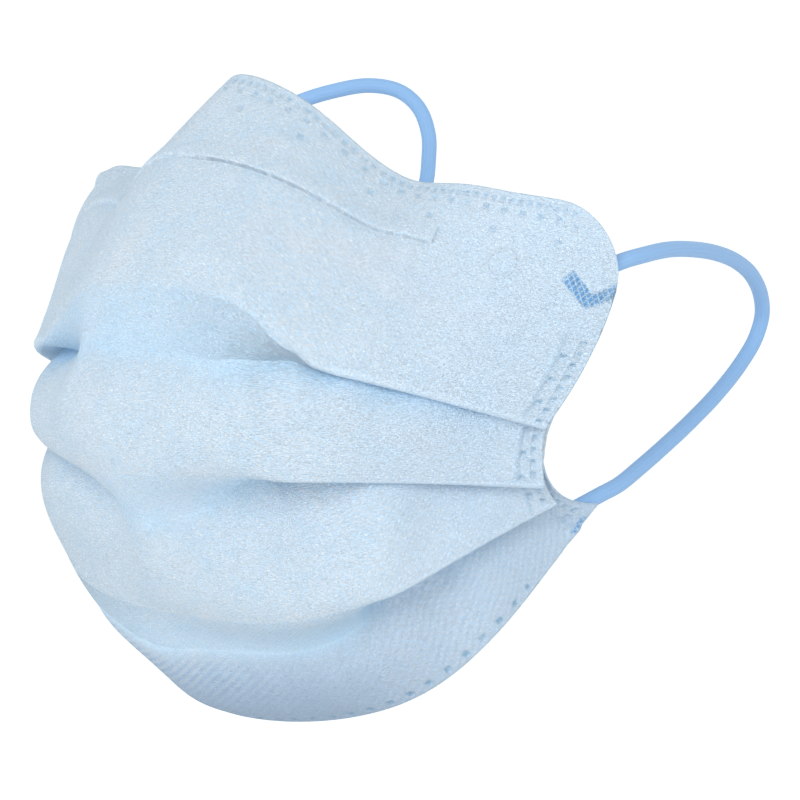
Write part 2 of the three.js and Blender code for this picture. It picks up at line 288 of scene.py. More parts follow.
class Sheet:
    """The middle of the pleated wall along a set of columns."""

    def __init__(self, us):
        self.us = us
        side = np.abs(us)
        self.rim = (np.sign(us) * side ** RIM_POWER)[:, None]
        self.panels, self.pleats = [], []
        start = line_points(0, us)
        flat = np.zeros(len(us))
        for k, panel in enumerate(PANELS):
            end = line_points(k + 1, us)
            across = line_directions(k + 1, us)
            if k < CHIN:
                end = end - PLEATS[k].crest_inset * self.rim * across
            chord = end - start
            strip = SimpleNamespace(
                start=start, chord=chord, across=across, flat=flat,
                outward=unit(np.cross(chord, across)),
                length=np.linalg.norm(chord, axis=1), arch_start=0 * us,
                bulge=panel.bulge * (1 - side ** 2) + panel.right_bulge * right_bell(us),
                swell=np.where(us < 0, panel.swell * np.sin(np.pi * side), 0),
                bow=panel.bow * self.rim,
            )
            if k > NOSE:
                above = self.pleats[k - 1]
                covered = np.clip(-np.cos(above.turn) * above.depth / strip.length, 0, COVER_LIMIT)
                eased_in = covered ** 2 / (covered + COVER_EASE) * (1 - smooth(side, 0.8, 0.95))
                strip.arch_start = np.where(us > 0, eased_in, 0)
            self.panels.append(strip)
            flat = flat + strip.length
            if k < CHIN:
                pleat = self.pleat(PLEATS[k], strip, end, line_points(k + 2, us), flat)
                self.pleats.append(pleat)
                start = self.point("root", k, 1)
                bends = pleat.radius * pleat.turn, pleat.root_radius * pleat.root_turn
                flat = pleat.flat + bends[0] + pleat.depth + bends[1]
        self.length = flat
        held = smooth(us, 0, 0.25)
        self.ends = [strip.flat + strip.length for strip in self.panels]
        self.crest_places = [
            end if panel.place is None else end * (1 - held) + panel.place * held
            for end, panel in zip(self.ends, PANELS)
        ]
        self.crest_places[CHIN] = 0 * us + FLAT_HEIGHT
        self.reaches = [
            pleat.ease * (1 + pleat.ease_more * smooth(-us, 0, 0.3))
            * (1 - smooth(us, pleat.ease_left - EASE_FADE, pleat.ease_left))
            * (1 - smooth(-us, pleat.ease_right - EASE_FADE, pleat.ease_right))
            for pleat in PLEATS
        ]

    def pleat(self, sizes, strip, crest, next_crest, flat):
        """Bends and flap of one pleat, from its crest to the root that starts the next panel."""
        side = np.abs(self.us)
        forward = unit(strip.chord - 4 * strip.outward * (strip.bulge / (1 - strip.arch_start))[:, None])
        inward = unit(np.cross(strip.across, forward))
        tucked = sizes.tuck * smooth(side, sizes.tuck_start, sizes.tuck_end)
        right = np.maximum(tucked, side ** sizes.right_power)
        pressed = sizes.closed * smooth(side, sizes.close_start, sizes.close_end)
        share = np.where(self.us > 0, np.maximum(pressed, side ** sizes.left_power), right)
        turn = np.radians(sizes.middle + (sizes.side - sizes.middle) * share)
        radius = FOLD_RADIUS + sizes.softness * np.clip(1 - share / SOFT_SHARE, 0, 1) ** 1.5
        narrowing = smooth(self.us, NARROWING.start, NARROWING.full)
        narrowing = narrowing * (1 - smooth(self.us, NARROWING.widens, NARROWING.end))
        depth = sizes.depth * (1 - sizes.slack * right_bell(self.us) - sizes.left_slack * narrowing)
        cosine, sine = np.cos(turn)[:, None], np.sin(turn)[:, None]
        flap = cosine * forward + sine * inward
        flap_start = crest + radius[:, None] * (sine * forward + (1 - cosine) * inward)
        corner = flap_start + depth[:, None] * flap - sizes.root_inset * self.rim * strip.across
        onward = unit(next_crest - corner)
        ahead = (onward * flap).sum(axis=1)
        aside = onward - ahead[:, None] * flap
        root_turn = np.arctan2(np.linalg.norm(aside, axis=1), ahead)
        widened = VALLEY_RADIUS * np.clip(1 - share / SOFT_SHARE, 0, 1)
        cut = widened * np.tan(root_turn / 2)
        return SimpleNamespace(
            crest=crest, forward=forward, inward=inward, turn=turn, radius=radius, flat=flat,
            flap=flap, flap_start=flap_start, depth=depth - cut,
            bow=sizes.flap_bow * self.rim * strip.across,
            root=corner - cut[:, None] * flap, aside=unit(aside),
            root_turn=root_turn, root_radius=FOLD_RADIUS + widened,
            dark=sizes.open_shade + (1 - sizes.open_shade) * share, painted_glow=sizes.painted_glow * (1 - share),
        )

    def point(self, part, k, t):
        """Points of one row. t runs from 0 to 1 along that part, and may differ from column to column."""
        t = np.broadcast_to(t, self.us.shape)[:, None]
        if part == "panel":
            strip = self.panels[k]
            start = strip.arch_start[:, None]
            free = np.clip((t - start) / (1 - start), 0, 1)
            height = arch(free) * strip.bulge[:, None] + high_arch(t) * strip.swell[:, None]
            aside = arch(t) * strip.bow * strip.across
            return strip.start + t * strip.chord + height * strip.outward + aside
        pleat = self.pleats[k]
        if part == "flap":
            return pleat.flap_start + t * (pleat.root - pleat.flap_start) - arch(t) * pleat.bow
        if part == "crest":
            angle, radius = t * pleat.turn[:, None], pleat.radius[:, None]
            start, ahead, inward = pleat.crest, pleat.forward, pleat.inward
        else:
            angle, radius = t * pleat.root_turn[:, None], pleat.root_radius[:, None]
            start, ahead, inward = pleat.root, pleat.flap, pleat.aside
        return start + radius * (np.sin(angle) * ahead + (1 - np.cos(angle)) * inward)

    def height(self, part, k, t, crests):
        """Place of one row down the flat cloth, where crests are the places of the panels' lower ends."""
        if part == "panel":
            return crests[k] - (1 - t) * self.panels[k].length
        pleat = self.pleats[k]
        crest_end = crests[k] + pleat.radius * pleat.turn
        root_end = crests[k + 1] - self.panels[k + 1].length
        root_start = root_end - pleat.root_radius * pleat.root_turn
        low, high = {
            "crest": (crests[k], crest_end), "flap": (crest_end, root_start), "root": (root_start, root_end),
        }[part]
        return low + t * (high - low)

    def down(self, *row):
        """Distance of one row below the upper line, along the cloth."""
        return self.height(*row, self.ends)

    def place(self, *row):
        """Height of one row in the pattern of the cloth, which follows the folds on the left half."""
        return self.height(*row, self.crest_places)

    def from_fold(self, part, k, t):
        """Distance of one row from the nearest fold, along the cloth."""
        if part != "panel":
            return 0 * self.us
        above = t * self.panels[k].length if k > NOSE else np.inf
        below = (1 - t) * self.panels[k].length if k < CHIN else np.inf
        return np.minimum(above, below)

    def easing(self, part, k, t):
        """Reach in metres over which one row is smoothed down the cloth."""
        if part != "panel":
            return self.reaches[k]
        if k == NOSE:
            return self.reaches[NOSE] * smooth(t + 0 * self.us, 0.7, 0.95)
        if k == CHIN:
            return self.reaches[LIP] * (1 - smooth(t + 0 * self.us, 0.1, 0.5))
        return (1 - t) * self.reaches[k - 1] + t * self.reaches[k]

    def shade(self, part, k, t):
        """Painted shade of one row, by how deep it lies in a fold, from 0 on an open panel to 1 at a root."""
        if part == "panel":
            if k == NOSE:
                return 0 * self.us
            pleat = self.pleats[k - 1]
            covered = np.clip(-np.cos(pleat.turn) * pleat.depth, 0, None)
            below = np.clip(t * self.panels[k].length - covered, 0, None)
            faded = 1 - SIDE_FADE * smooth(self.us, 0.55, 0.85)
            return pleat.dark * np.exp(-below / FOLD_SHADE) * faded
        dark = self.pleats[k].dark
        if part == "crest":
            return dark * 0.5 * smooth(t + 0 * self.us, 0.3, 1)
        if part == "flap":
            return dark * (0.5 + 0.5 * t)
        return dark

    def painted_glow(self, part, k, t):
        """Painted glow of one row of a fold that stands open, in place of light through the cloth."""
        if part == "panel" and k == NOSE:
            return 0 * self.us
        pleat = self.pleats[k - 1 if part == "panel" else k]
        return self.shade(part, k, t) / pleat.dark * pleat.painted_glow


def grid_normals(points):
    """Outward directions of a grid whose rows run down and whose columns run to the left."""
    def direction(axis):
        steps = unit(np.diff(points, axis=axis))
        first, last = np.take(steps, [0], axis), np.take(steps, [-1], axis)
        return np.concatenate([first, steps], axis) + np.concatenate([steps, last], axis)
    return unit(np.cross(direction(0), direction(1)))


def eased(points, down, reach):
    """A grid smoothed down its columns, as soft cloth lies. The reach is a grid of metres."""
    result = points.copy()
    for j in np.flatnonzero(reach.max(axis=0) > 0):
        away = (down[:, None, j] - down[None, :, j]) / np.maximum(reach[:, None, j], 1e-6)
        weights = np.exp(-away ** 2 / 2) * np.gradient(down[:, j])
        result[:, j] = weights @ points[:, j] / weights.sum(axis=1, keepdims=True)
    return result


def cloth_grid(us, make_rows):
    """Middle points, outward directions and flat places of a piece of the sheet, row by row."""
    sheet = Sheet(us)
    rows = make_rows(sheet)

    def each(measure):
        return np.array([np.broadcast_to(measure(*row), us.shape) for row in rows])

    down = each(sheet.down)
    across = us * HALF_WIDTH + 0 * down
    points = eased(np.array([sheet.point(*row) for row in rows]), down, each(sheet.easing))
    return SimpleNamespace(
        us=us, points=points, normals=grid_normals(points), across=across, down=down, up=sheet.length - down,
        flat=np.stack([across, each(sheet.place)], axis=-1),
        side=(1 - np.abs(us)) * HALF_WIDTH + 0 * down,
        panel=each(lambda part, k, t: k), on_panel=each(lambda part, k, t: part == "panel"),
        from_fold=each(sheet.from_fold), shade=each(sheet.shade), painted_glow=each(sheet.painted_glow),
    )


def spaced(length, spacing):
    return max(2, round(length / spacing))


def pleated_rows(spacing, nose_spacing, top_inset=TOP_BAND, lower_inset=LOWER_BAND, bend_steps=8,
                 flap_steps=10):
    """Rows of the sheet from top_inset below the upper edge to lower_inset above the lower one."""
    def make(sheet):
        rows = []
        for k, strip in enumerate(sheet.panels):
            first = (corner_drop(sheet.us) + top_inset) / strip.length if k == NOSE else 0
            last = 1 - lower_inset / strip.length if k == CHIN else 1
            count = spaced(strip.length.max(), nose_spacing if k == NOSE else spacing)
            steps = range(0 if k == NOSE else 1, count + 1 if k == CHIN else count)
            rows += [("panel", k, first + (last - first) * i / count) for i in steps]
            if k < CHIN:
                rows += [("crest", k, i / bend_steps) for i in range(bend_steps + 1)]
                rows += [("flap", k, i / flap_steps) for i in range(1, flap_steps + 1)]
                rows += [("root", k, i / bend_steps) for i in range(1, bend_steps + 1)]
        return rows
    return make


def band_rows(panel, width, spacing):
    """Rows of the band along the upper edge, on the nose panel, or along the lower one, on the chin panel."""
    def make(sheet):
        count = spaced(width, spacing)
        length = sheet.panels[panel].length
        if panel == NOSE:
            places = [(corner_drop(sheet.us) + width * i / count) / length for i in range(count + 1)]
        else:
            places = [1 - width * (1 - i / count) / length for i in range(count + 1)]
        return [("panel", panel, place) for place in places]
    return make


# Relief of the cloth, where g is a grid that cloth_grid made

def undulation(g):
    """Soft crumple of the whole wall, and puckers that run in from the side welds."""
    random = np.random.default_rng(CRUMPLE.seed)
    crumple = 0 * g.down
    for _ in range(CRUMPLE.waves):
        length = random.uniform(CRUMPLE.shortest, CRUMPLE.longest)
        heading, phase = random.uniform(0, math.pi), random.uniform(0, 2 * math.pi)
        along = g.across * math.cos(heading) + g.down * math.sin(heading)
        crumple += np.sin(2 * math.pi * along / length + phase) * length
    crumple *= CRUMPLE.steepness
    quiet = smooth(g.side, 0.006, 0.030) * smooth(g.up, 0, 0.010) * smooth(g.from_fold, 0, 0.006)
    beyond = np.clip(g.side - SIDE_BAND, 0, None)
    swing = np.sin(2 * math.pi * (g.down - SIDE_WELDS[1].phase) / SIDE_WELDS[1].pitch)
    pucker = (PUCKER.height + PUCKER.swing * swing) * np.exp(-beyond / PUCKER.reach)
    pucker = pucker * smooth(g.side, 0.005, 0.0075) * smooth(g.from_fold, 0, 0.003)
    return crumple * quiet + pucker * smooth(g.down, 0.020, 0.030)


def on(g, panel):
    """Where the grid lies on a panel itself, and not on the pleat below it."""
    return (g.panel == panel) & g.on_panel


def weld_rows(rows, along, inset):
    """1 inside the pressed spots of the rows."""
    spots = 0 * along
    for row in rows:
        across = pad(inset - row.inset, row.across / 2, SOFT_BORDER)
        from_spot = wrapped(along - row.phase, row.pitch)
        spots = np.maximum(spots, across * pad(from_spot, row.along / 2, SOFT_BORDER))
    return spots


def welds(g, shift=0.0):
    """1 inside every pressed weld spot. A shift moves the spots down by so much."""
    edge, aside = g.down - corner_drop(g.us), np.abs(g.across)
    top = weld_rows(TOP_WELDS, g.across, edge - shift) * on(g, NOSE) * (aside < TOP_WELD_REACH)
    lower = weld_rows(LOWER_WELDS, g.across, g.up + shift) * on(g, CHIN) * (aside < LOWER_WELD_REACH)
    reach = g.on_panel * (g.down > SIDE_WELD_START) * (g.up > LOWER_CLEARANCE)
    side = weld_rows(SIDE_WELDS, g.down - shift, g.side) * reach
    return np.maximum(np.maximum(top, lower), side)


def weld_shade(g):
    """Painted shadow: 1 along the upper border of every weld spot, and all over those of the lower edge."""
    border = np.clip(welds(g, -0.0001) - welds(g, WELD_SHADE), 0, 1)
    return np.where((g.panel == CHIN) & (g.up < 0.0026), welds(g), border)


def band_shade(g):
    """Painted shade in the groove beside the welded side band."""
    groove = hump(g.side - SIDE_BAND - GROOVE.beyond, GROOVE.width)
    reach = smooth(g.down, SIDE_WELD_START - 0.004, SIDE_WELD_START + 0.004)
    return GROOVE.shade * groove * reach * g.on_panel


def near_stroke(x, y, start, end, half_width, soft):
    """1 on a straight stroke with squared ends."""
    start, end = np.array(start), np.array(end)
    length = np.linalg.norm(end - start)
    direction = (end - start) / length
    along = (x - start[0]) * direction[0] + (y - start[1]) * direction[1]
    aside = (y - start[1]) * direction[0] - (x - start[0]) * direction[1]
    return pad(aside, half_width, soft) * pad(along - length / 2, length / 2 + half_width / 2, soft)


def loop_marks(g):
    """1 where the elastic is pressed into the cloth, at the four corners."""
    x = np.abs(g.across)
    mark = 0 * g.down
    for start, end, half_width in zip(MARK_POINTS, MARK_POINTS[1:], MARK_HALF_WIDTHS):
        mark = np.maximum(mark, near_stroke(x, g.down, start, end, half_width, SOFT_BORDER))
    low_mark = near_stroke(x, g.up, *LOWER_MARK_POINTS, LOWER_MARK_HALF_WIDTH, 0.0005)
    return mark * on(g, NOSE) + low_mark * on(g, CHIN)


def knurl(x, y, pitch):
    """Raised diamonds between crossed grooves, from 0 in a groove to 1."""
    a = np.abs(wrapped(x + y, pitch)) / (pitch / 2)
    b = np.abs(wrapped(x - y, pitch)) / (pitch / 2)
    return smooth(1 - np.maximum(a, b), 0.05, 0.6)


def wire_drop(us):
    """How far the middle of the nose wire lies below the upper edge."""
    return WIRE.end_drop + (WIRE.middle_drop - WIRE.end_drop) * falling(np.abs(us) / WIRE.reach)


def wire_ridge(g):
    """Ridge that the nose wire raises on the outer face, with a sharp lower border."""
    below = g.down - (wire_drop(g.across / HALF_WIDTH) + WIRE.width / 2)
    length = pad(g.across, WIRE.reach * HALF_WIDTH, 0.0008) * on(g, NOSE)
    top = smooth(below, -0.0058, -0.0004) * (1 - smooth(below, -0.0001, 0.0003))
    groove = hump(below - 0.0006, 0.0006)
    return (RIDGE_HEIGHT * top - RIDGE_GROOVE * groove) * length


def stamping(g):
    """Relief of the outer face alone."""
    spots, marks = welds(g), loop_marks(g)
    band = smooth(g.down, SIDE_WELD_START - 0.004, SIDE_WELD_START + 0.002) * g.on_panel
    flat = 1 - smooth(g.side, SIDE_BAND - 0.0008, SIDE_BAND)
    lip = hump(g.side - SIDE_BAND - 0.0005, 0.0006)
    relief = band * (BAND_RELIEF * lip - BAND_RELIEF * flat) - WELD_DEPTH * spots
    relief += marks * (0.0002 * knurl(g.across, g.down, MARK_PITCH) - 0.00018)
    return relief + wire_ridge(g)


# Meshes

def add_object(name, data):
    item = bpy.data.objects.new(name, data)
    bpy.context.scene.collection.objects.link(item)
    return item


def mesh_piece(name, blocks, material):
    """One mesh from grids of points, each with its flat places and its masks."""
    vertices = np.concatenate([block.points.reshape(-1, 3) for block in blocks])
    flats = np.concatenate([block.flat.reshape(-1, 2) for block in blocks])
    faces, base = [], 0
    for block in blocks:
        rows, columns = block.points.shape[:2]
        index = base + np.arange(rows * columns).reshape(rows, columns)
        quads = np.stack([index[:-1, :-1], index[1:, :-1], index[1:, 1:], index[:-1, 1:]], axis=-1)
        faces.append(quads.reshape(-1, 4)[:, ::-1] if block.flip else quads.reshape(-1, 4))
        base += rows * columns
    mesh = bpy.data.meshes.new(name)
    mesh.from_pydata(vertices.tolist(), [], np.concatenate(faces).tolist())
    mesh.shade_smooth()
    corners = np.zeros(len(mesh.loops), np.int32)
    mesh.loops.foreach_get("vertex_index", corners)
    mesh.uv_layers.new(name="flat").data.foreach_set("uv", flats[corners].astype(np.float32).ravel())
    for key in blocks[0].masks:
        values = np.concatenate([block.masks[key].ravel() for block in blocks]).astype(np.float32)
        mesh.attributes.new(key, "FLOAT", "POINT").data.foreach_set("value", values)
    mesh.materials.append(material)
    piece = add_object(name, mesh)
    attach(piece, "root")
    return piece


def grid_block(points, flat, masks, flip=False):
    return SimpleNamespace(points=points, flat=flat, masks=masks, flip=flip)


def rim(count, at_start, at_end):
    """Indices and face levels of count columns, whose open ends turn over the edge to the inner face."""
    turned = [-1, -0.45, 0.45]
    index = [0] * 3 * at_start + list(range(count)) + [count - 1] * 3 * at_end
    level = turned * at_start + [1] * count + turned[::-1] * at_end
    return np.array(index), np.array(level)


def outer_block(us, make_rows, top=False, lower=False, right=False, left=False):
    """Part of the outer face with its relief, turned over the edges that it reaches."""
    g = cloth_grid(us, make_rows)
    i, row_level = rim(len(g.points), top, lower)
    j, column_level = rim(len(us), right, left)
    level = np.minimum(row_level[:, None], column_level[None, :])
    at = np.ix_(i, j)
    offset = FACE * level + np.where(level == 1, stamping(g)[at], 0) + undulation(g)[at]
    points = g.points[at] + offset[..., None] * g.normals[at]
    inside = smooth(g.side, 0.004, 0.020)
    right_ribs, chin_shade_fade = smooth(g.across, -0.005, 0.025), smooth(g.across, 0.015, 0.055)
    # Own marks: pressed welds, elastic marks, ribs. Painted light: the fold, border and chin shade, and the
    # glow
    masks = {
        "pressed": welds(g), "border": weld_shade(g), "elastic": loop_marks(g),
        "ribs": (g.panel == CHIN) * smooth(g.from_fold, 0, 0.008) * (1 - 0.75 * right_ribs),
        "fold": np.maximum(g.shade * inside, band_shade(g)),
        "painted_glow": g.painted_glow * inside,
        "painted_chin_shade": on(g, CHIN) * (1 - smooth(g.up, 0.007, 0.026)) * (1 - 0.75 * chin_shade_fade),
    }
    return grid_block(points, g.flat[at], {key: value[at] for key, value in masks.items()})


def columns(start, end, spacing):
    return np.linspace(start, end, spaced((end - start) * HALF_WIDTH, spacing) + 1)


def outer_cloth(material):
    """The outer face inside the welded edges."""
    rows = pleated_rows(spacing=0.00065, nose_spacing=0.0004)
    block = outer_block(columns(-FINE_SIDE, FINE_SIDE, 0.0006), rows)
    piece = mesh_piece("outer_cloth", [block], material)
    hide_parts("mask_body")
    return piece


def welded_edges(material):
    """The border of the outer face, with its weld spots, turned over the edges."""
    rows = pleated_rows(spacing=0.00035, nose_spacing=0.00033)
    across = columns(-1, 1, 0.00025)
    blocks = [
        outer_block(across, band_rows(NOSE, TOP_BAND, 0.0003), top=True, right=True, left=True),
        outer_block(across, band_rows(CHIN, LOWER_BAND, 0.0003), lower=True, right=True, left=True),
        outer_block(columns(-1, -FINE_SIDE, 0.0003), rows, right=True),
        outer_block(columns(FINE_SIDE, 1, 0.0003), rows, left=True),
    ]
    return mesh_piece("welded_edges", blocks, material)


def inner_cloth(material):
    rows = pleated_rows(0.0009, 0.0009, top_inset=0, lower_inset=0, bend_steps=6, flap_steps=6)
    g = cloth_grid(columns(-1, 1, 0.0009), rows)
    points = g.points + (undulation(g) - FACE)[..., None] * g.normals
    block = grid_block(points, g.flat, {}, flip=True)
    return mesh_piece("inner_cloth", [block], material)


# Nose wire hem and elastic ends: closed strips on the inner face

def closed_strip(points, normals, outer, inner, flat, masks):
    """Closed blocks between two offsets along the normals, each a grid of metres."""
    front = points + outer[..., None] * normals
    back = points + inner[..., None] * normals
    blocks = [grid_block(front, flat, masks), grid_block(back, flat, masks, flip=True)]
    for axis in (0, 1):
        for end in (0, -1):
            def border(a, b):
                return np.concatenate([np.take(a, [end], axis), np.take(b, [end], axis)], axis)

            edge_masks = {key: border(value, value) for key, value in masks.items()}
            blocks.append(grid_block(border(front, back), border(flat, flat), edge_masks, flip=end == 0))
    return blocks


def nose_wire_hem(material):
    """The strip of cloth that covers the nose wire, with the wire's rounded shape in it."""
    us = np.linspace(-WIRE.reach, WIRE.reach, 200)
    places = np.linspace(-0.5, 0.5, 15)

    def rows(sheet):
        drops = [wire_drop(us) + place * WIRE.width for place in places]
        return [("panel", NOSE, drop / sheet.panels[NOSE].length) for drop in drops]

    g = cloth_grid(us, rows)
    crown = np.sqrt(1 - (2 * places[:, None]) ** 4 * 0.9)
    crown = crown * pad(g.across, WIRE.reach * HALF_WIDTH - 0.0004, 0.0012)
    outer = undulation(g) - WALL / 2 - SEAT_GAP / 2
    inner = outer - SEAT_GAP / 2 - WIRE.thickness * np.clip(crown, 0.25, 1)
    blocks = closed_strip(g.points, g.normals, outer, inner, g.flat, {})
    piece = mesh_piece("nose_wire_hem", blocks, material)
    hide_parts("nose_wire")
    return piece


def loop_end(side_name, weld_name, material):
    """Flattened end of the elastic, knurled where it is welded to the cloth."""
    side = {"left": 1, "right": -1}[side_name]
    weld = WELDS[weld_name]
    turn = math.radians(weld.turn)
    along = WELD_LENGTH * np.linspace(-0.5, 0.5, 54) * side
    aside = WELD_WIDTH * np.linspace(-0.5, 0.5, 32)
    along, aside = np.meshgrid(along, aside)
    us = side * (weld.across + (along * math.cos(turn) - aside * math.sin(turn)) / HALF_WIDTH)
    length = Sheet(np.array([side * weld.across])).panels[weld.panel].length[0]
    down = weld.down + (along * math.sin(turn) + aside * math.cos(turn)) / length
    points = np.array([Sheet(u).point("panel", weld.panel, t) for u, t in zip(us, down)])
    rounded = pad(along, WELD_LENGTH / 2 - STRIP_ROUNDING, 0.0008)
    rounded = rounded * pad(aside, WELD_WIDTH / 2 - STRIP_ROUNDING, 0.0008)
    diamonds = knurl(along, aside, MARK_PITCH) * rounded
    outer = np.full(along.shape, -WALL / 2 - SEAT_GAP) - STRIP_ROUNDING * (1 - rounded)
    inner = -WALL / 2 - SEAT_GAP - WELD_THICKNESS + STRIP_ROUNDING * (1 - diamonds)
    flat = np.stack([aside, along], axis=-1)
    blocks = closed_strip(points, grid_normals(points), outer, inner, flat, {"knurl": diamonds})
    piece = mesh_piece(f"loop_end_{side_name}_{weld_name}", blocks, material)
    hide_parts(f"loop_weld_{side_name}_{weld_name}")
    return piece


# Ear loops

def smooth_route(route, steps):
    """Centripetal Catmull-Rom curve through the route, as evenly spaced points."""
    stops = np.array(route) / ROUTE_STEPS_PER_METRE
    stops = np.vstack([2 * stops[0] - stops[1], stops, 2 * stops[-1] - stops[-2]])
    fine = []
    for a, b, c, d in zip(stops, stops[1:], stops[2:], stops[3:]):
        knots = np.cumsum([0] + [np.linalg.norm(y - x) ** 0.5 for x, y in ((a, b), (b, c), (c, d))])
        t = np.linspace(knots[1], knots[2], 24, endpoint=False)[:, None]

        def between(x, y, i, j):
            return (knots[j] - t) / (knots[j] - knots[i]) * x + (t - knots[i]) / (knots[j] - knots[i]) * y

        ab, bc, cd = between(a, b, 0, 1), between(b, c, 1, 2), between(c, d, 2, 3)
        fine.append(between(between(ab, bc, 0, 2), between(bc, cd, 1, 3), 1, 2))
    fine = np.vstack(fine + [stops[-2]])
    lengths = lengths_along(fine)
    return points_at(np.linspace(0, lengths[-1], steps), fine, lengths), lengths[-1]


def ear_loop(side_name, material):
    """Knitted round elastic, with a shallow rib for each wale."""
    steps, sides, wales = 420, 48, 12
    path, length = smooth_route(ROUTES[side_name], steps)
    tangents = unit(np.gradient(path, axis=0))
    normals = [unit(np.cross(tangents[0], [0.0, 0.0, 1.0]))]
    for tangent in tangents[1:]:
        last = normals[-1]
        normals.append(unit(last - (last @ tangent) * tangent))
    normals = np.array(normals)
    binormals = np.cross(tangents, normals)
    around = np.linspace(0, 2 * np.pi, sides + 1)
    along = np.linspace(0, length, steps)[:, None]
    rib = np.abs(np.sin(wales / 2 * around))[None, :] ** 0.6
    stitch = np.abs(np.sin(np.pi * along / STITCH + wales / 2 * around[None, :]))
    radius = LOOP_DIAMETER / 2 - RIB_DEPTH * (1 - rib) - RIB_DEPTH * (1 - stitch)
    cosine, sine = np.cos(around)[None, :, None], np.sin(around)[None, :, None]
    ring = cosine * normals[:, None, :] + sine * binormals[:, None, :]
    points = path[:, None, :] + radius[..., None] * ring
    flat = np.stack(np.broadcast_arrays(around[None, :] * LOOP_DIAMETER / 2, along), axis=-1)
    ribs = rib * (0.6 + 0.4 * stitch)
    blocks = [grid_block(points, flat, {"rib": ribs})]
    for end in (0, -1):
        cap = np.stack([points[end], np.broadcast_to(path[end], points[end].shape)])
        blocks.append(grid_block(cap, flat[[end, end]], {"rib": ribs[[end, end]]}, flip=end == 0))
    piece = mesh_piece(f"elastic_{side_name}", blocks, material)
    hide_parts(f"ear_loop_{side_name}")
    return piece


# Materials

